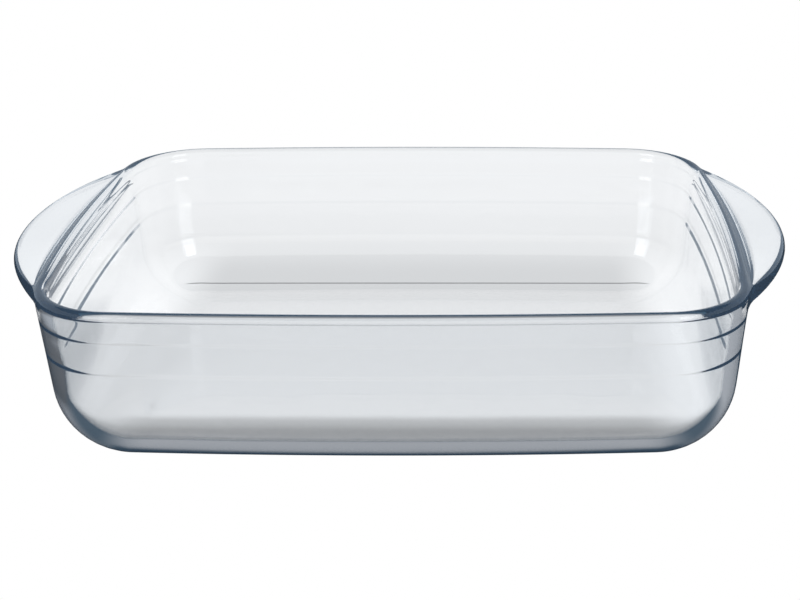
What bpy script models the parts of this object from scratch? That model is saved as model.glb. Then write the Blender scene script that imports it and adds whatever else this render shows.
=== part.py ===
"""Rectangular baking dish, pressed in one piece of clear glass, with a handle on each short side.

The dish stands on z = 0 with its middle on the Z axis, and is long along X. Its wall is a loft: one
closed loop of edges is extruded from ring to ring, up the outside, over the rim and the handles, down
the inside, and both ends of the loft are closed by a flat face, the underside and the inner floor.
"""

import math

import bmesh
import bpy

# Driving dimensions, in metres.
BODY_LENGTH = 0.303         # rim to rim along X, without the handles
BODY_WIDTH = 0.230          # rim to rim along Y
HEIGHT = 0.0765
CORNER_RADIUS = 0.0385      # seen from above, at the outside of the rim
BASE_CORNER_RADIUS = 0.010  # seen from above, where the round bottom edge meets the underside
CORNER_SOFTNESS = 0.004     # how gradually the corners stop getting smaller towards that radius
END_BOW = 0.0030            # how far a short side swells between its corners
SIDE_BOW = 0.0028           # the same for a long side

RIM_RADIUS = 0.0026         # the rim is rounded over the whole thickness of the wall
WALL_SLOPE = 0.073          # how fast the outside leans in on its way down
BASE_RADIUS = 0.0335        # outside, between the wall and the underside
FLOOR = 0.0055              # thickness of the floor

INNER_SLOPE = 0.050         # how fast the inside leans in between its ledges
LEDGES = (                  # moulded round the inside: middle height, step inwards, height it takes
    (0.0718, 0.0006, 0.0018),
    (0.0620, 0.0006, 0.0022),
    (0.0475, 0.0006, 0.0025),
)

HANDLE_TIP = 0.1745         # from the middle of the dish to a handle's edge
HANDLE_RADIUS = 0.132       # of a handle's edge, seen from above
HANDLE_END = 0.087          # how far a handle reaches to each side of the middle
HANDLE_FADE = 0.0125        # over which a handle runs out into the rim
HANDLE_DROP = 0.0016        # from the top of the rim down to the edge of a handle
HANDLE_DIP = 0.0009         # from there down to the valley beside the rim
HANDLE_VALLEY = 0.0026      # from the outside of the rim to the bottom of that valley
HANDLE_EDGE = 0.0036        # radius of a handle's round edge, at its tip
HANDLE_FILLET = 0.0090      # under a handle, against the wall, at its tip
HANDLE_ROOT = 0.0585        # height below which a handle leaves the wall as it is
HANDLE_SOFTNESS = 0.002     # how gradually a handle comes out of the rim
RIDGE_START = 25.0          # degrees above level where the rim's ridge rises out of the valley

END_STATIONS = 8        # along half a short side
CORNER_STATIONS = 7     # round a corner
SIDE_STATIONS = 6       # along half a long side
FILLET_STEPS = 3
EDGE_STEPS = 6
CREST_STEPS = 3
INNER_RIM_STEPS = 4
BOTTOM_STEPS = 7

SHARP_ANGLE = 40.0      # degrees between faces, past which an edge is shaded as sharp

GLASS_COLOUR = (0.86, 0.90, 0.92, 1.0)


def soft_limit(value, least, softness):
    """The value, held smoothly above its least."""
    above = value - least
    return least + 0.5 * (above + math.hypot(above, softness))


def smooth_step(value):
    t = min(max(value, 0.0), 1.0)
    return t * t * (3.0 - 2.0 * t)


def quarter_outline(offset):
    """Points round a quarter of the dish, from the middle of the +X end to the middle of the +Y side.

    A positive offset lies outside the rim. The outline is a bowed core with a round border.
    """
    radius = soft_limit(CORNER_RADIUS + offset, BASE_CORNER_RADIUS, CORNER_SOFTNESS)
    core_x = BODY_LENGTH / 2 + offset - radius
    core_y = BODY_WIDTH / 2 + offset - radius
    corner_x = core_x - END_BOW
    corner_y = core_y - SIDE_BOW
    points = []
    for i in range(END_STATIONS):
        t = math.sin(math.pi / 2 * i / END_STATIONS)
        turn = math.atan(2 * END_BOW * t / corner_y)
        points.append((core_x - END_BOW * t * t, corner_y * t, turn))
    start = math.atan(2 * END_BOW / corner_y)
    finish = math.pi / 2 - math.atan(2 * SIDE_BOW / corner_x)
    for i in range(CORNER_STATIONS):
        points.append((corner_x, corner_y, start + (finish - start) * i / CORNER_STATIONS))
    for i in range(SIDE_STATIONS + 1):
        t = 1.0 - i / SIDE_STATIONS
        turn = math.pi / 2 - math.atan(2 * SIDE_BOW * t / corner_x)
        points.append((corner_x * t, core_y - SIDE_BOW * t * t, turn))
    return [(x + radius * math.cos(a), y + radius * math.sin(a)) for x, y, a in points]


def outline(offset):
    """The whole closed outline, mirrored from its quarter."""
    quarter = quarter_outline(offset)
    half = quarter + [(-x, y) for x, y in reversed(quarter[:-1])]
    return half + [(x, -y) for x, y in reversed(half[1:-1])]


def arc(offset, height, radius, start, finish, steps):
    """Section points on an arc about a centre, with the angles in degrees from straight outwards."""
    points = []
    for i in range(steps + 1):
        angle = math.radians(start + (finish - start) * i / steps)
        points.append((offset + radius * math.cos(angle), height + radius * math.sin(angle)))
    return points


def run(start, finish, steps):
    """Section points on a straight run, without its first point."""
    points = []
    for i in range(1, steps + 1):
        t = i / steps
        points.append((start[0] + (finish[0] - start[0]) * t, start[1] + (finish[1] - start[1]) * t))
    return points


def round_bottom(slope, wall_offset, wall_height, radius, floor, steps):
    """An arc from a floor to a leaning wall, which passes through one known point."""
    lean = math.atan(slope)
    touch = floor + radius - radius * math.sin(lean)
    centre = wall_offset - slope * (wall_height - touch) - radius * math.cos(lean)
    return arc(centre, floor + radius, radius, -90.0, -math.degrees(lean), steps)


def outer_bottom():
    """Section of the outside, from the underside round the bottom edge to the wall."""
    return round_bottom(WALL_SLOPE, 0.0, HEIGHT - RIM_RADIUS, BASE_RADIUS, 0.0, BOTTOM_STEPS)


def inner_wall():
    """Section of the inside, from under the rim down over the ledges to the floor."""
    offset = -2 * RIM_RADIUS
    height = HEIGHT - RIM_RADIUS
    points = []
    for middle, step, rise in LEDGES:
        offset -= INNER_SLOPE * (height - middle - rise / 2)
        points.append((offset, middle + rise / 2))
        offset -= step
        height = middle - rise / 2
        points.append((offset, height))
    bottom = round_bottom(INNER_SLOPE, offset, height, BASE_RADIUS - FLOOR, FLOOR, BOTTOM_STEPS)
    return points + bottom[::-1]


def plain_rim():
    """Section of the top of the wall, from below the handles' height to its crest, with no handle."""
    top = HEIGHT - RIM_RADIUS
    start = (-WALL_SLOPE * (top - HANDLE_ROOT), HANDLE_ROOT)
    wall_steps = FILLET_STEPS + EDGE_STEPS // 2
    points = [start] + run(start, (-WALL_SLOPE * RIM_RADIUS, HEIGHT - 2 * RIM_RADIUS), wall_steps)
    return points + arc(-RIM_RADIUS, top, RIM_RADIUS, 0.0, 90.0, EDGE_STEPS // 2 + CREST_STEPS + 3)


def handle_rim(reach):
    """The same stretch, point for point, where a handle stands out by its reach: the fillet under it,
    its round edge, its top, which dips to a valley, and the ridge of the rim beside that. It is the
    section at the handle's tip, squeezed to the reach.
    """
    full = HANDLE_TIP - BODY_LENGTH / 2
    squeeze = reach / full
    top = HEIGHT - HANDLE_DROP
    below = top - 2 * HANDLE_EDGE
    points = arc(HANDLE_FILLET, below - HANDLE_FILLET, HANDLE_FILLET, 180.0, 90.0, FILLET_STEPS)
    points += arc(full - HANDLE_EDGE, top - HANDLE_EDGE, HANDLE_EDGE, -90.0, 90.0, EDGE_STEPS)
    brink = points[-1][0]
    for share in (0.5, 1.0):
        dip = HANDLE_DIP * squeeze * smooth_step(share)
        points.append((brink + (HANDLE_VALLEY - brink) * share, top - dip))
    squeezed = []
    for out, height in points:
        wall = -WALL_SLOPE * max(HEIGHT - RIM_RADIUS - height, 0.0)
        squeezed.append((out * squeeze + wall * (1.0 - out / full), height))
    return squeezed + arc(-RIM_RADIUS, HEIGHT - RIM_RADIUS, RIM_RADIUS, RIDGE_START, 90.0, CREST_STEPS)


def sections():
    """One whole section for each station round the dish, from the underside over the rim to the floor."""
    inner_rim = arc(-RIM_RADIUS, HEIGHT - RIM_RADIUS, RIM_RADIUS, 90.0, 180.0, INNER_RIM_STEPS)[1:]
    plain = plain_rim()
    found = []
    for x, y in outline(0.0):
        edge = HANDLE_TIP - HANDLE_RADIUS + math.sqrt(max(HANDLE_RADIUS ** 2 - y ** 2, 0.0))
        reach = soft_limit(edge - abs(x), 0.0, HANDLE_SOFTNESS)
        share = smooth_step((HANDLE_END - abs(y)) / HANDLE_FADE)
        pairs = zip(plain, handle_rim(reach))
        rim = [tuple(p + (h - p) * share for p, h in zip(*pair)) for pair in pairs]
        found.append(outer_bottom() + rim + inner_rim + inner_wall())
    return found


def raise_ring(bm, ring, places):
    """Extrudes a closed ring of vertices and moves the new ring to its places."""
    loop = [bm.edges.get(pair) for pair in zip(ring, ring[1:] + ring[:1])]
    made = bmesh.ops.extrude_edge_only(bm, edges=loop)["geom"]
    fresh = {item for item in made if isinstance(item, bmesh.types.BMVert)}
    raised = []
    for vertex, place in zip(ring, places):
        above = next(e.other_vert(vertex) for e in vertex.link_edges if e.other_vert(vertex) in fresh)
        above.co = place
        raised.append(above)
    return raised


def dish_mesh():
    """Lofts the dish from its underside to its inner floor."""
    stations = sections()
    rings = []
    for level in range(len(stations[0])):
        ring = []
        for i, section in enumerate(stations):
            offset, height = section[level]
            x, y = outline(offset)[i]
            ring.append((x, y, height))
        rings.append(ring)

    bm = bmesh.new()
    made = bmesh.ops.create_circle(bm, cap_ends=True, radius=BODY_WIDTH / 2, segments=len(stations))
    ring = made["verts"]
    for vertex, place in zip(ring, rings[0]):
        vertex.co = place
    for places in rings[1:]:
        ring = raise_ring(bm, ring, places)
    bmesh.ops.contextual_create(bm, geom=[bm.edges.get(p) for p in zip(ring, ring[1:] + ring[:1])])
    bmesh.ops.recalc_face_normals(bm, faces=bm.faces)

    mesh = bpy.data.meshes.new("dish")
    bm.to_mesh(mesh)
    bm.free()
    mesh.shade_smooth()
    mesh.set_sharp_from_angle(angle=math.radians(SHARP_ANGLE))
    return mesh


def pressed_glass():
    """Clear glass with a faint blue-grey body colour."""
    material = bpy.data.materials.new("pressed_glass")
    material.use_nodes = True
    shader = material.node_tree.nodes["Principled BSDF"]
    shader.inputs["Base Color"].default_value = GLASS_COLOUR
    shader.inputs["Roughness"].default_value = 0.02
    shader.inputs["Metallic"].default_value = 0.0
    shader.inputs["Transmission Weight"].default_value = 1.0
    shader.inputs["IOR"].default_value = 1.5
    return material


for leftover in list(bpy.data.objects):
    bpy.data.objects.remove(leftover)

dish = bpy.data.objects.new("dish", dish_mesh())
dish.data.materials.append(pressed_glass())
bpy.context.scene.collection.objects.link(dish)
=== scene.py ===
import math

import bmesh
import bpy
from mathutils import Matrix, Vector
from mathutils.noise import noise


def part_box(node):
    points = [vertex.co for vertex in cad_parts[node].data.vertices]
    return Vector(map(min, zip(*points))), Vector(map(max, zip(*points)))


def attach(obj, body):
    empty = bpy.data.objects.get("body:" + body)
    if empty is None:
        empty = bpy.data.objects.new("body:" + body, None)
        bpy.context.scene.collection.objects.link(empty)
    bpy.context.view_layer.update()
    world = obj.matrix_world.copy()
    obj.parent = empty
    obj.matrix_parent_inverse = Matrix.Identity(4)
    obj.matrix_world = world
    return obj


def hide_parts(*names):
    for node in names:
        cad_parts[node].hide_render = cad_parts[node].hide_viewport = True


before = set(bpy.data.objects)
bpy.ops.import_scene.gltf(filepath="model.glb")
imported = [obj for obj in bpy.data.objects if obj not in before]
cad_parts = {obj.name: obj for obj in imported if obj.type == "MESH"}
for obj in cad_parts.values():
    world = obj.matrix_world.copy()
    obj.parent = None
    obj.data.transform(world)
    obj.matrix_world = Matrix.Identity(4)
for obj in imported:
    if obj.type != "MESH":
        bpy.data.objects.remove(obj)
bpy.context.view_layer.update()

# ---------------------------------------------------------------------------------------------
# The dish: rectangular, for roasting and baking, with a crescent handle on each short side.
# It is one piece of clear heat-resistant glass. A gob of molten glass is pressed between a mould
# and a plunger, which leaves the ledges round the inside, and fire polishing rounds the rim.
# ---------------------------------------------------------------------------------------------
low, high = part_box("dish")
WIDTH = high.y - low.y      # rim to rim
HEIGHT = high.z - low.z
HANDLE_TIP = high.x         # from the middle of the dish to a handle's edge
BODY_LENGTH = 0.303         # rim to rim, without the handles
CORNER_RADIUS = 0.0385      # seen from above, at the outside of the rim
BASE_CORNER_RADIUS = 0.010  # seen from above, where the round bottom edge meets the underside
CORNER_SOFTNESS = 0.004     # how gradually the corners stop getting smaller towards that radius
END_BOW = 0.0030            # how far a short side swells between its corners
SIDE_BOW = 0.0028           # the same for a long side

RIM_RADIUS = 0.0026         # the rim is rounded over the whole thickness of the wall
WALL_SLOPE = 0.073          # how fast the outside leans in on its way down
BASE_RADIUS = 0.0335        # outside, between the wall and the underside
FLOOR = 0.0055              # thickness of the floor

INNER_SLOPE = 0.050         # how fast the inside leans in between its ledges
LEDGES = (                  # moulded round the inside: middle height, step inwards, height it takes
    (0.0718, 0.0006, 0.0018),
    (0.0620, 0.0006, 0.0022),
    (0.0475, 0.0006, 0.0025),
)

HANDLE_RADIUS = 0.132       # of a handle's edge, seen from above
HANDLE_END = 0.087          # how far a handle reaches to each side of the middle
HANDLE_FADE = 0.0125        # over which a handle runs out into the rim
HANDLE_DROP = 0.0016        # from the top of the rim down to the edge of a handle
HANDLE_DIP = 0.0009         # from there down to the valley beside the rim
HANDLE_VALLEY = 0.0026      # from the outside of the rim to the bottom of that valley
HANDLE_EDGE = 0.0036        # radius of a handle's round edge, at its tip
HANDLE_FILLET = 0.0090      # under a handle, against the wall, at its tip
HANDLE_ROOT = 0.0585        # height below which a handle leaves the wall as it is
HANDLE_SOFTNESS = 0.002     # how gradually a handle comes out of the rim
RIDGE_START = 25.0          # degrees above level where the rim's ridge rises out of the valley

SWELL = 0.00006             # how far the fire-polished wall wanders in and out
SWELL_LENGTH = 0.016        # from one swell to the next
FLAT_BORDER = 0.0015        # a narrow border keeps the flat floor and underside truly flat

END_STATIONS = 26           # along half a short side
CORNER_STATIONS = 22        # round a corner
SIDE_STATIONS = 28          # along half a long side
BOTTOM_STEPS = 16           # round the bottom edge, and so on upwards
WALL_STEPS = 12
FILLET_STEPS = 6
EDGE_STEPS = 12
TOP_STEPS = 8               # across a handle, from its edge to its valley
CREST_STEPS = 8
INNER_RIM_STEPS = 8
LEDGE_STEPS = 8
SHELF_STEPS = 4             # between two ledges


def soft_limit(value, least, softness):
    """The value, held smoothly above its least."""
    above = value - least
    return least + 0.5 * (above + math.hypot(above, softness))


def smooth_step(value):
    t = min(max(value, 0.0), 1.0)
    return t * t * (3.0 - 2.0 * t)


def quarter_outline(offset):
    """Points round a quarter of the dish, from the middle of its +X end to the middle of its +Y side.

    A positive offset lies outside the rim. The outline is a bowed core with a round border.
    """
    radius = soft_limit(CORNER_RADIUS + offset, BASE_CORNER_RADIUS, CORNER_SOFTNESS)
    core_x = BODY_LENGTH / 2 + offset - radius
    core_y = WIDTH / 2 + offset - radius
    corner_x = core_x - END_BOW
    corner_y = core_y - SIDE_BOW
    points = []
    for i in range(END_STATIONS):
        t = math.sin(math.pi / 2 * i / END_STATIONS)
        turn = math.atan(2 * END_BOW * t / corner_y)
        points.append((core_x - END_BOW * t * t, corner_y * t, turn))
    start = math.atan(2 * END_BOW / corner_y)
    finish = math.pi / 2 - math.atan(2 * SIDE_BOW / corner_x)
    for i in range(CORNER_STATIONS):
        points.append((corner_x, corner_y, start + (finish - start) * i / CORNER_STATIONS))
    for i in range(SIDE_STATIONS + 1):
        t = 1.0 - i / SIDE_STATIONS
        turn = math.pi / 2 - math.atan(2 * SIDE_BOW * t / corner_x)
        points.append((corner_x * t, core_y - SIDE_BOW * t * t, turn))
    return [(x + radius * math.cos(a), y + radius * math.sin(a)) for x, y, a in points]


def outline(offset):
    """The whole closed outline, mirrored from its quarter."""
    quarter = quarter_outline(offset)
    half = quarter + [(-x, y) for x, y in reversed(quarter[:-1])]
    return half + [(x, -y) for x, y in reversed(half[1:-1])]


def arc(offset, height, radius, start, finish, steps):
    """Section points on an arc about a centre, with the angles in degrees from straight outwards."""
    points = []
    for i in range(steps + 1):
        angle = math.radians(start + (finish - start) * i / steps)
        points.append((offset + radius * math.cos(angle), height + radius * math.sin(angle)))
    return points


def run(start, finish, steps, ease=lambda t: t):
    """Section points on a run, without its first point. An eased run starts and ends upright."""
    points = []
    for i in range(1, steps + 1):
        t = i / steps
        across = ease(t)
        points.append((start[0] + (finish[0] - start[0]) * across, start[1] + (finish[1] - start[1]) * t))
    return points


def round_bottom(slope, wall_offset, wall_height, radius, floor, steps):
    """An arc from a floor to a leaning wall, which passes through one known point."""
    lean = math.atan(slope)
    touch = floor + radius - radius * math.sin(lean)
    centre = wall_offset - slope * (wall_height - touch) - radius * math.cos(lean)
    return arc(centre, floor + radius, radius, -90.0, -math.degrees(lean), steps)


def outer_wall():
    """Section of the outside, from the underside round the bottom edge and up to the handles' root."""
    top = HEIGHT - RIM_RADIUS
    points = round_bottom(WALL_SLOPE, 0.0, top, BASE_RADIUS, 0.0, BOTTOM_STEPS)
    return points + run(points[-1], (-WALL_SLOPE * (top - HANDLE_ROOT), HANDLE_ROOT), WALL_STEPS)


def inner_wall():
    """Section of the inside, from under the rim down over the ledges to the floor."""
    points = [(-2 * RIM_RADIUS, HEIGHT - RIM_RADIUS)]
    for middle, step, rise in LEDGES:
        offset, height = points[-1]
        brink = (offset - INNER_SLOPE * (height - middle - rise / 2), middle + rise / 2)
        points += run(points[-1], brink, SHELF_STEPS)
        points += run(brink, (brink[0] - step, middle - rise / 2), LEDGE_STEPS, smooth_step)
    bottom = round_bottom(INNER_SLOPE, *points[-1], BASE_RADIUS - FLOOR, FLOOR, BOTTOM_STEPS)[::-1]
    return points[1:] + run(points[-1], bottom[0], SHELF_STEPS) + bottom[1:]


def plain_rim():
    """Section of the top of the wall, from the handles' root to its crest, where there is no handle."""
    top = HEIGHT - RIM_RADIUS
    start = (-WALL_SLOPE * (top - HANDLE_ROOT), HANDLE_ROOT)
    wall_steps = FILLET_STEPS + EDGE_STEPS // 2
    crest_steps = EDGE_STEPS // 2 + TOP_STEPS + CREST_STEPS + 1
    points = run(start, (-WALL_SLOPE * RIM_RADIUS, top - RIM_RADIUS), wall_steps)
    return points + arc(-RIM_RADIUS, top, RIM_RADIUS, 0.0, 90.0, crest_steps)


def handle_rim(reach):
    """The same stretch, point for point, where a handle stands out by its reach: the fillet under it,
    its round edge, its top, which dips to a valley, and the ridge of the rim beside that. It is the
    section at the handle's tip, squeezed to the reach.
    """
    full = HANDLE_TIP - BODY_LENGTH / 2
    squeeze = reach / full
    top = HEIGHT - HANDLE_DROP
    below = top - 2 * HANDLE_EDGE
    points = arc(HANDLE_FILLET, below - HANDLE_FILLET, HANDLE_FILLET, 180.0, 90.0, FILLET_STEPS)[1:]
    points += arc(full - HANDLE_EDGE, top - HANDLE_EDGE, HANDLE_EDGE, -90.0, 90.0, EDGE_STEPS)
    brink = points[-1][0]
    for share in (i / TOP_STEPS for i in range(1, TOP_STEPS + 1)):
        dip = HANDLE_DIP * squeeze * smooth_step(share)
        points.append((brink + (HANDLE_VALLEY - brink) * share, top - dip))
    squeezed = []
    for out, height in points:
        wall = -WALL_SLOPE * max(HEIGHT - RIM_RADIUS - height, 0.0)
        squeezed.append((out * squeeze + wall * (1.0 - out / full), height))
    return squeezed + arc(-RIM_RADIUS, HEIGHT - RIM_RADIUS, RIM_RADIUS, RIDGE_START, 90.0, CREST_STEPS)


def sections():
    """One whole section for each station round the dish, from the underside over the rim to the floor."""
    inner_rim = arc(-RIM_RADIUS, HEIGHT - RIM_RADIUS, RIM_RADIUS, 90.0, 180.0, INNER_RIM_STEPS)[1:]
    plain = plain_rim()
    outside = outer_wall()
    inside = inner_wall()
    found = []
    for x, y in outline(0.0):
        edge = HANDLE_TIP - HANDLE_RADIUS + math.sqrt(max(HANDLE_RADIUS ** 2 - y ** 2, 0.0))
        reach = soft_limit(edge - abs(x), 0.0, HANDLE_SOFTNESS)
        share = smooth_step((HANDLE_END - abs(y)) / HANDLE_FADE)
        pairs = zip(plain, handle_rim(reach))
        rim = [tuple(p + (h - p) * share for p, h in zip(*pair)) for pair in pairs]
        found.append(outside + rim + inner_rim + inside)
    return found


def raise_ring(bm, ring, places):
    """Extrudes a closed ring of vertices and moves the new ring to its places."""
    loop = [bm.edges.get(pair) for pair in zip(ring, ring[1:] + ring[:1])]
    made = bmesh.ops.extrude_edge_only(bm, edges=loop)["geom"]
    fresh = {item for item in made if isinstance(item, bmesh.types.BMVert)}
    raised = []
    for vertex, place in zip(ring, places):
        above = next(e.other_vert(vertex) for e in vertex.link_edges if e.other_vert(vertex) in fresh)
        above.co = place
        raised.append(above)
    return raised


def swell_walls(bm):
    """Lets the walls wander a little along their normals, and leaves floor, underside and rim alone."""
    bm.normal_update()
    for vertex in bm.verts:
        height = vertex.co.z
        share = smooth_step((height - FLOOR) / BASE_RADIUS) * smooth_step((HANDLE_ROOT - height) / FLOOR)
        upright = 1.0 - abs(vertex.normal.z)
        vertex.co += vertex.normal * SWELL * share * upright * noise(vertex.co / SWELL_LENGTH)


def pressed_dish():
    """Lofts the dish from its underside to its inner floor."""
    stations = sections()
    bm = bmesh.new()
    made = bmesh.ops.create_circle(bm, cap_ends=True, radius=WIDTH / 2, segments=len(stations))
    ring = made["verts"]
    underside = ring[0].link_faces[0]
    for level in range(len(stations[0])):
        places = []
        for i, section in enumerate(stations):
            offset, height = section[level]
            x, y = outline(offset)[i]
            places.append((x, y, height))
        if level == 0:
            for vertex, place in zip(ring, places):
                vertex.co = place
        else:
            ring = raise_ring(bm, ring, places)
    rim_loop = [bm.edges.get(pair) for pair in zip(ring, ring[1:] + ring[:1])]
    inner_floor = bmesh.ops.contextual_create(bm, geom=rim_loop)["faces"]
    bmesh.ops.recalc_face_normals(bm, faces=bm.faces)
    for face in [underside] + inner_floor:
        bmesh.ops.inset_region(bm, faces=[face], thickness=FLAT_BORDER, use_even_offset=True)
    swell_walls(bm)
    mesh = bpy.data.meshes.new("glass_dish")
    bm.to_mesh(mesh)
    bm.free()
    mesh.shade_smooth()
    return mesh


def linear(code):
    """An sRGB hex colour as the linear values that a shader socket takes."""
    values = [int(code[i:i + 2], 16) / 255 for i in (1, 3, 5)]
    bent = [v / 12.92 if v <= 0.04045 else ((v + 0.055) / 1.055) ** 2.4 for v in values]
    return (*bent, 1.0)


def node(tree, kind, settings, links=None):
    """Adds a shader node, sets its properties and inputs, and links inputs from other nodes' outputs."""
    made = tree.nodes.new("ShaderNode" + kind)
    for name, value in settings.items():
        if isinstance(name, int) or name in made.inputs:
            made.inputs[name].default_value = value
        else:
            setattr(made, name, value)
    for name, output in (links or {}).items():
        tree.links.new(output, made.inputs[name])
    return made


GLASS_INDEX = 1.474         # of borosilicate glass
GLASS_DENSITY = 12.0        # how strongly a metre of it colours the light
GLASS_PAINTED_GLOW = 0.6     # how much painted glow a metre of it adds, so rims that trap light are not quite black
RIPPLE_LENGTH = 0.018       # from one ripple to the next
RIPPLE_DEPTH = 0.00004


def clear_glass():
    """Heat-resistant clear glass, pressed and then fire polished.

    The polish makes it mirror smooth. The chill of the mould leaves broad, very shallow ripples, which
    make lines seen through it tremble. Its own faint colour turns thick parts steel blue, and a faint
    glow painted into its volume keeps a rim that traps light from going quite black.
    """
    material = bpy.data.materials.new("pressed_clear_glass")
    material.use_nodes = True
    tree = material.node_tree
    shader = tree.nodes["Principled BSDF"]
    shader.inputs["Base Color"].default_value = linear("#fbfcfd")
    shader.inputs["Roughness"].default_value = 0.0
    shader.inputs["IOR"].default_value = GLASS_INDEX
    shader.inputs["Transmission Weight"].default_value = 1.0
    place = node(tree, "TexCoord", {}).outputs["Object"]
    ripples = node(tree, "TexNoise", {"Scale": 1 / RIPPLE_LENGTH, "Detail": 1.0}, {"Vector": place})
    bump = {"Strength": 1.0, "Distance": RIPPLE_DEPTH}
    bump = node(tree, "Bump", bump, {"Height": ripples.outputs["Fac"]})
    tree.links.new(bump.outputs["Normal"], shader.inputs["Normal"])
    tint = node(tree, "VolumeAbsorption", {"Color": linear("#b1c1d0"), "Density": GLASS_DENSITY})
    # painted glow inside the glass, which lightens the rims that trap light
    painted_glow = node(tree, "Emission", {"Color": linear("#a3bdd2"), "Strength": GLASS_PAINTED_GLOW})
    body = node(tree, "AddShader", {}, {0: tint.outputs[0], 1: painted_glow.outputs[0]})
    tree.links.new(body.outputs[0], tree.nodes["Material Output"].inputs["Volume"])
    return material


glass_dish = bpy.data.objects.new("glass_dish", pressed_dish())
glass_dish.data.materials.append(clear_glass())
bpy.context.scene.collection.objects.link(glass_dish)
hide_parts("dish")
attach(glass_dish, "root")

# ---------------------------------------------------------------------------------------------
# The studio table: a round top of opal acrylic, bent up all round into a low wall and lit from
# behind to an even white. Clear glass shows it white in its thin walls, with painted shade round
# the foot of the dish, and dark at its thick edges, where the table shows painted dark tones in
# place of darker surroundings. The dish stands on it, with a hair of air under the flat underside.
# ---------------------------------------------------------------------------------------------
TABLE_RADIUS = 2.4
COVE_RADIUS = 0.6
COVE_HEIGHT = 2.6
COVE_SEGMENTS = 96
COVE_STEPS = 12
STANDING_GAP = 0.0002               # air under the flat underside

# Straight light: how bright the table is, seen through the glass, with the dish's shadow painted round its
# foot.
SHADE_REACH = 0.25                  # how far from the foot a tone may be given
OPEN_SHADE = (                      # painted shade: brightness at a distance outside the foot
    (-0.060, 0.86), (-0.015, 0.84), (0.000, 0.78), (0.035, 0.77),
    (0.080, 0.86), (0.120, 0.94), (0.180, 0.99),
)
FRONT_SHADE = (                     # painted shadow in front, darkest under the round bottom edge
    (-0.060, 0.92), (-0.028, 0.90), (-0.016, 0.50), (-0.006, 0.30),
    (0.010, 0.30), (0.035, 0.60), (0.090, 0.86),
)
FRONT_STARTS = (0.02, -0.07)        # Y between which the shade changes to the one in front
SIDE_GLOW = 1.02                    # painted brightness at both ends
LEFT_SHADE = 0.80                   # and painted shade at the left end, through two walls
SIDE_STARTS = (0.105, 0.135)        # distance from the middle between which that takes over
SIDE_BEGINS = (-0.085, -0.055)      # Y between which it starts, at the near corners
SIDE_FADES = (0.20, 0.10)           # Y between which it is gone, and still whole, at the far corners
CONTACT_LINE = 0.0205               # distance outside the foot of the painted shadow line along the back
CONTACT_HALF_WIDTH = 0.0012
CONTACT_PAINTED_SHADE = 0.12
CONTACT_STARTS = (0.099, 0.1015)    # Y between which that line fades in

# Turned light: the painted colour of the table after the glass has thrown the light off or turned it back,
# dark tones in place of darker surroundings.
TURNED_LIGHT = (                    # at a distance outside the foot
    (0.003, "#2f4558"), (0.009, "#b2b4b8"), (0.030, "#a4a6ab"),
    (0.065, "#5f6266"), (0.120, "#6c6e72"), (0.165, "#b4b9bf"),
)
PALE_SIDE = (0.12, 0.16)            # X between which the painted tone turns paler, to the right
PALE_TONE = "#b8bbc0"
PALE_BACK = (0.04, 0.11)            # Y between which it turns white, behind the dish
NEAR_CORNER = "#53626f"             # painted dark tone beyond the near corners
THROWN_OFF = "#232a30"              # painted dark reflection, in light that never enters the glass
FAR_WALL = "#c8d4e0"                # the same painted reflection, farther off
OPEN_TABLE = (0.5, 1.3)             # distance from the middle between which the table turns white
LONG_WAY = "#4a6478"                # painted dark tone in light that has gone to and fro inside a thick edge
LONG_WAY_TURNS = (1.0, 4.0)

ONCE = 0.5                          # a count of turns or of surfaces past this is one or more
TWO_WALLS = 3.5                     # and past this the light has crossed two walls

# A Mix node's two colours are its inputs 6 and 7, and what it gives is its output 2.
MIX_FROM = 6
MIX_TO = 7
MIXED = 2


def lit_cove():
    """A table top, its cove and its wall, turned in one profile about the Z axis."""
    bm = bmesh.new()
    made = bmesh.ops.create_circle(bm, cap_ends=True, radius=TABLE_RADIUS, segments=COVE_SEGMENTS)
    ring = made["verts"]
    bmesh.ops.translate(bm, verts=ring, vec=(0.0, 0.0, -STANDING_GAP))
    profile = arc(TABLE_RADIUS, COVE_RADIUS - STANDING_GAP, COVE_RADIUS, -90.0, 0.0, COVE_STEPS)[1:]
    profile.append((TABLE_RADIUS + COVE_RADIUS, COVE_HEIGHT))
    for radius, height in profile:
        places = [Vector((v.co.x, v.co.y, 0.0)).normalized() * radius for v in ring]
        ring = raise_ring(bm, ring, [(p.x, p.y, height) for p in places])
    mesh = bpy.data.meshes.new("lit_cove")
    bm.to_mesh(mesh)
    bm.free()
    mesh.shade_smooth()
    return mesh


def distance_from_foot(tree, place):
    """How far a point of the table lies outside the rectangle of the foot, less than 0 under it."""
    half_size = (BODY_LENGTH / 2 - BASE_RADIUS, WIDTH / 2 - BASE_RADIUS, 0.0)
    side = node(tree, "VectorMath", {"operation": "ABSOLUTE"}, {0: place})
    beyond = node(tree, "VectorMath", {"operation": "SUBTRACT", 1: half_size}, {0: side.outputs[0]})
    outside = {"operation": "MAXIMUM", 1: (0.0, 0.0, 0.0)}
    outside = node(tree, "VectorMath", outside, {0: beyond.outputs[0]})
    far = node(tree, "VectorMath", {"operation": "LENGTH"}, {0: outside.outputs[0]})
    parts = node(tree, "SeparateXYZ", {}, {0: beyond.outputs[0]}).outputs
    nearer = node(tree, "Math", {"operation": "MAXIMUM"}, {0: parts["X"], 1: parts["Y"]})
    under = node(tree, "Math", {"operation": "MINIMUM", 1: 0.0}, {0: nearer.outputs[0]})
    total = node(tree, "Math", {"operation": "ADD"}, {0: far.outputs["Value"], 1: under.outputs[0]})
    return total.outputs[0]


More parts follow.
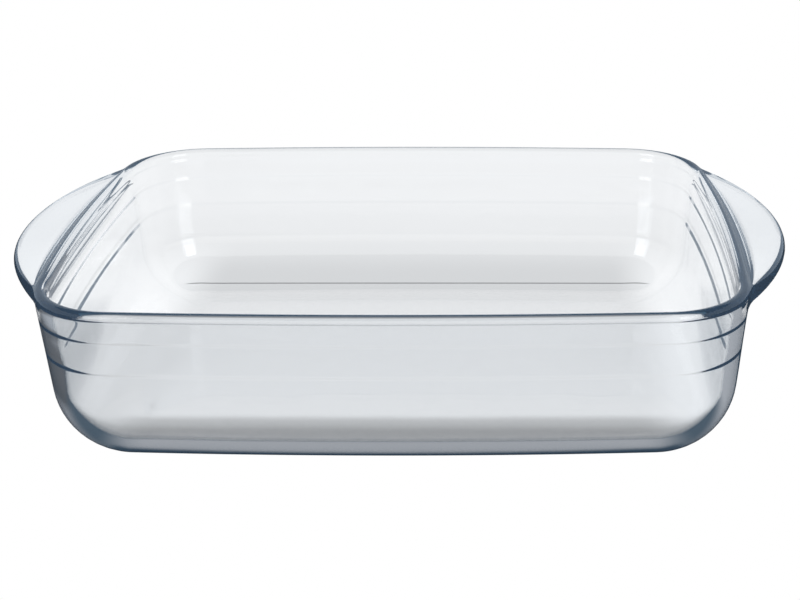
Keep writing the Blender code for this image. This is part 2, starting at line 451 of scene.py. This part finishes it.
def tone_ramp(tree, distance, stops):
    """The tone given by stops of distance and either a brightness or a colour."""
    reach = {"From Min": -SHADE_REACH, "From Max": SHADE_REACH}
    share = node(tree, "MapRange", reach, {"Value": distance})
    tone = node(tree, "ValToRGB", {}, {"Fac": share.outputs[0]})
    ramp = tone.color_ramp
    ramp.interpolation = "EASE"
    while len(ramp.elements) < len(stops):
        ramp.elements.new(1.0)
    for stop, (place, value) in zip(ramp.elements, stops):
        stop.position = 0.5 + 0.5 * place / SHADE_REACH
        stop.color = linear(value) if isinstance(value, str) else (value, value, value, 1.0)
    return tone.outputs["Color"]


def between(limits):
    """Settings that ease from 0 at the first limit to 1 at the second."""
    return {"interpolation_type": "SMOOTHSTEP", "From Min": limits[0], "From Max": limits[1]}


def end_shares(tree, place):
    """The share of the painted tones at both ends of the dish, and that of the painted tone beyond its near
    corners.
    """
    parts = node(tree, "SeparateXYZ", {}, {0: place}).outputs
    off_middle = node(tree, "Math", {"operation": "ABSOLUTE"}, {0: parts["X"]})
    end = node(tree, "MapRange", between(SIDE_STARTS), {0: off_middle.outputs[0]})
    near = node(tree, "MapRange", between(SIDE_FADES), {0: parts["Y"]})
    past = node(tree, "MapRange", between(SIDE_BEGINS), {0: parts["Y"]})
    along = node(tree, "Math", {"operation": "MULTIPLY"}, {0: near.outputs[0], 1: past.outputs[0]})
    beside = node(tree, "Math", {"operation": "MULTIPLY"}, {0: end.outputs[0], 1: along.outputs[0]})
    ahead = node(tree, "Math", {"operation": "SUBTRACT", 0: 1.0}, {1: past.outputs[0]})
    corner = node(tree, "Math", {"operation": "MULTIPLY"}, {0: end.outputs[0], 1: ahead.outputs[0]})
    return beside.outputs[0], corner.outputs[0]


def straight_light(tree, path, place, distance, beside):
    """The tone of the table in light that comes straight through the glass, with the dish's shadow painted
    in it.
    """
    colours = {"data_type": "RGBA"}
    parts = node(tree, "SeparateXYZ", {}, {0: place}).outputs
    side_glow = (SIDE_GLOW, SIDE_GLOW, SIDE_GLOW, 1.0)
    left_shade = (LEFT_SHADE, LEFT_SHADE, LEFT_SHADE, 1.0)
    # tone of the painted shadow line along the back of the foot
    grey = (CONTACT_PAINTED_SHADE, CONTACT_PAINTED_SHADE, CONTACT_PAINTED_SHADE, 1.0)

    # painted shadow of the dish round its foot, darker in front of it
    open_shade = tone_ramp(tree, distance, OPEN_SHADE)
    forward = {"operation": "MULTIPLY_ADD", 1: -1.0, 2: BASE_RADIUS - WIDTH / 2}
    forward = node(tree, "Math", forward, {0: parts["Y"]})
    front_shade = tone_ramp(tree, forward.outputs[0], FRONT_SHADE)
    in_front = node(tree, "MapRange", between(FRONT_STARTS), {0: parts["Y"]})
    fronts = {0: in_front.outputs[0], MIX_FROM: open_shade, MIX_TO: front_shade}
    shade = node(tree, "Mix", colours, fronts)

    walls = {"operation": "GREATER_THAN", 1: TWO_WALLS}
    walls = node(tree, "Math", walls, {0: path["Transmission Depth"]})
    left = node(tree, "Math", {"operation": "LESS_THAN", 1: 0.0}, {0: parts["X"]})
    shaded = node(tree, "Math", {"operation": "MULTIPLY"}, {0: walls.outputs[0], 1: left.outputs[0]})
    # painted brightness at the ends, and painted shade at the left end through two walls
    sides = {**colours, MIX_FROM: side_glow, MIX_TO: left_shade}
    sides = node(tree, "Mix", sides, {0: shaded.outputs[0]})
    ends = {0: beside, MIX_FROM: shade.outputs[MIXED], MIX_TO: sides.outputs[MIXED]}
    shade = node(tree, "Mix", colours, ends)

    # painted shadow line along the back, where the round bottom edge leaves the table
    off_line = node(tree, "Math", {"operation": "SUBTRACT", 1: CONTACT_LINE}, {0: distance})
    off_line = node(tree, "Math", {"operation": "ABSOLUTE"}, {0: off_line.outputs[0]})
    on_line = node(tree, "MapRange", between((CONTACT_HALF_WIDTH, 0.0)), {0: off_line.outputs[0]})
    behind = node(tree, "MapRange", between(CONTACT_STARTS), {0: parts["Y"]})
    on_line = node(tree, "Math", {"operation": "MULTIPLY"}, {0: on_line.outputs[0], 1: behind.outputs[0]})
    line = {0: on_line.outputs[0], MIX_FROM: shade.outputs[MIXED]}
    return node(tree, "Mix", {**colours, MIX_TO: grey}, line).outputs[MIXED]


def turned_light(tree, path, place, distance, corner):
    """The painted tone of the table in light that the glass has thrown off or turned back."""
    colours = {"data_type": "RGBA"}
    white = {**colours, MIX_TO: linear("#ffffff")}
    parts = node(tree, "SeparateXYZ", {}, {0: place}).outputs
    went_in = {"operation": "GREATER_THAN", 1: ONCE}
    went_in = node(tree, "Math", went_in, {0: path["Transmission Depth"]}).outputs[0]

    # painted dark tones in place of darker surroundings, paler to the right and white behind
    turned = tone_ramp(tree, distance, TURNED_LIGHT)
    paler = node(tree, "MapRange", between(PALE_SIDE), {0: parts["X"]})
    pale = {**colours, MIX_TO: linear(PALE_TONE)}
    turned = node(tree, "Mix", pale, {0: paler.outputs[0], MIX_FROM: turned})
    paler = node(tree, "MapRange", between(PALE_BACK), {0: parts["Y"]})
    turned = node(tree, "Mix", white, {0: paler.outputs[0], MIX_FROM: turned.outputs[MIXED]})
    cornered = {**colours, MIX_TO: linear(NEAR_CORNER)}
    turned = node(tree, "Mix", cornered, {0: corner, MIX_FROM: turned.outputs[MIXED]})
    # painted dark reflection for light that never enters the glass
    thrown_off = {**colours, MIX_FROM: linear(THROWN_OFF)}
    dark = node(tree, "Mix", thrown_off, {0: went_in, MIX_TO: turned.outputs[MIXED]})

    radius = node(tree, "VectorMath", {"operation": "LENGTH"}, {0: place})
    far_off = node(tree, "MapRange", between(OPEN_TABLE), {0: radius.outputs["Value"]})
    far = node(tree, "Mix", {**white, MIX_FROM: linear(FAR_WALL)}, {0: went_in})
    farther = {0: far_off.outputs[0], MIX_FROM: dark.outputs[MIXED], MIX_TO: far.outputs[MIXED]}
    dark = node(tree, "Mix", colours, farther)

    # painted dark tone for light trapped inside a thick edge
    turns = node(tree, "MapRange", between(LONG_WAY_TURNS), {0: path["Glossy Depth"]})
    long_way = {**colours, MIX_TO: linear(LONG_WAY)}
    dark = node(tree, "Mix", long_way, {0: turns.outputs[0], MIX_FROM: dark.outputs[MIXED]})
    return dark.outputs[MIXED]


def acrylic_with_painted_shade():
    """Opal acrylic, lit from behind to an even white.

    The eye sees plain white. The glass shows a painted soft shade round the foot of the dish where light
    comes straight through it, and painted dark tones, in place of darker surroundings, where a thick
    edge turns the light.
    """
    material = bpy.data.materials.new("opal_acrylic_painted_shade")
    material.use_nodes = True
    tree = material.node_tree
    tree.nodes.remove(tree.nodes["Principled BSDF"])
    path = node(tree, "LightPath", {}).outputs
    place = node(tree, "TexCoord", {}).outputs["Object"]
    distance = distance_from_foot(tree, place)
    beside, corner = end_shares(tree, place)
    straight = straight_light(tree, path, place, distance, beside)
    turned = turned_light(tree, path, place, distance, corner)
    bounced = node(tree, "Math", {"operation": "GREATER_THAN", 1: ONCE}, {0: path["Glossy Depth"]})
    ways = {0: bounced.outputs[0], MIX_FROM: straight, MIX_TO: turned}
    seen = node(tree, "Mix", {"data_type": "RGBA"}, ways)
    plain = {"data_type": "RGBA", MIX_TO: linear("#ffffff")}
    seen = node(tree, "Mix", plain, {0: path["Is Camera Ray"], MIX_FROM: seen.outputs[MIXED]})
    glow = node(tree, "Emission", {"Strength": 1.0}, {"Color": seen.outputs[MIXED]})
    tree.links.new(glow.outputs["Emission"], tree.nodes["Material Output"].inputs["Surface"])
    return material


cove = bpy.data.objects.new("lit_cove", lit_cove())
cove.data.materials.append(acrylic_with_painted_shade())
bpy.context.scene.collection.objects.link(cove)

# ---------------------------------------------------------------------------------------------
# The room round the table is dark blue-grey. In front of the dish, to either side, stand two tall
# softboxes, each a white cloth stretched on a frame. They show as two streaks on its back wall.
# ---------------------------------------------------------------------------------------------
room = bpy.data.worlds.new("dark_room")
room.use_nodes = True
room.node_tree.nodes["Background"].inputs["Color"].default_value = linear("#33526a")
bpy.context.scene.world = room

SOFTBOX_WIDTH = 0.6
SOFTBOX_HEIGHT = 1.0
SOFTBOX_DISTANCE = 1.3
SOFTBOX_TURN = 38.0         # degrees to each side of straight in front
SOFTBOX_GLOW = 3.4
SHOWN_TURNS = 1.5           # a softbox shows only in light that was turned once or twice,
SHOWN_SPAN = 0.6            # counts that lie within this span of the one above


def softbox_cloth():
    """White diffusing cloth lit from within. It only shows as a reflection in the glass."""
    material = bpy.data.materials.new("softbox_cloth")
    material.use_nodes = True
    tree = material.node_tree
    tree.nodes.remove(tree.nodes["Principled BSDF"])
    depth = node(tree, "LightPath", {}).outputs["Glossy Depth"]
    reflected = node(tree, "Math", {"operation": "COMPARE", 1: SHOWN_TURNS, 2: SHOWN_SPAN}, {0: depth})
    clear = node(tree, "BsdfTransparent", {})
    glow = node(tree, "Emission", {"Color": linear("#ffffff"), "Strength": SOFTBOX_GLOW})
    cloths = {0: reflected.outputs[0], 1: clear.outputs[0], 2: glow.outputs[0]}
    shown = node(tree, "MixShader", {}, cloths)
    tree.links.new(shown.outputs[0], tree.nodes["Material Output"].inputs["Surface"])
    return material


def softbox(name, side, cloth):
    """A tall softbox in front of the dish and to one side, facing it."""
    bm = bmesh.new()
    bmesh.ops.create_grid(bm, x_segments=1, y_segments=1, size=0.5)
    bmesh.ops.scale(bm, vec=(SOFTBOX_WIDTH, SOFTBOX_HEIGHT, 1.0), verts=bm.verts)
    bmesh.ops.rotate(bm, matrix=Matrix.Rotation(math.radians(90.0), 3, "X"), verts=bm.verts)
    bmesh.ops.translate(bm, vec=(0.0, -SOFTBOX_DISTANCE, SOFTBOX_HEIGHT / 2), verts=bm.verts)
    turn = Matrix.Rotation(math.radians(side * SOFTBOX_TURN), 3, "Z")
    bmesh.ops.rotate(bm, matrix=turn, verts=bm.verts)
    mesh = bpy.data.meshes.new(name)
    bm.to_mesh(mesh)
    bm.free()
    box = bpy.data.objects.new(name, mesh)
    box.data.materials.append(cloth)
    box.visible_camera = False
    bpy.context.scene.collection.objects.link(box)


cloth = softbox_cloth()
softbox("left_softbox", -1, cloth)
softbox("right_softbox", 1, cloth)

# ---------------------------------------------------------------------------------------------
# The camera stands in front of the dish and a little to the right, above the rim. It is tilted
# down but not turned, and its lens is shifted sideways to bring the dish to the middle.
# ---------------------------------------------------------------------------------------------
CAMERA_PLACE = (0.0428, -0.6324, 0.3031)
CAMERA_TILT = 22.94         # degrees below level
FOCAL_LENGTH = 65.25        # in millimetres, as the sensor's width
SENSOR_WIDTH = 36.0
SIDE_SHIFT = -0.120         # of the lens, in widths of the picture
NEAREST_SEEN = 0.01

camera_data = bpy.data.cameras.new("camera")
camera_data.sensor_width = SENSOR_WIDTH
camera_data.lens = FOCAL_LENGTH
camera_data.shift_x = SIDE_SHIFT
camera_data.clip_start = NEAREST_SEEN
camera = bpy.data.objects.new("camera", camera_data)
camera.location = CAMERA_PLACE
camera.rotation_euler = (math.radians(90.0 - CAMERA_TILT), 0.0, 0.0)
bpy.context.scene.collection.objects.link(camera)
bpy.context.scene.camera = camera

TURNS_FOLLOWED = 96         # light goes to and fro many times inside the rim before it leaves

scene = bpy.context.scene
scene.view_settings.view_transform = "Standard"
scene.cycles.max_bounces = TURNS_FOLLOWED
scene.cycles.transmission_bounces = TURNS_FOLLOWED
scene.cycles.glossy_bounces = TURNS_FOLLOWED
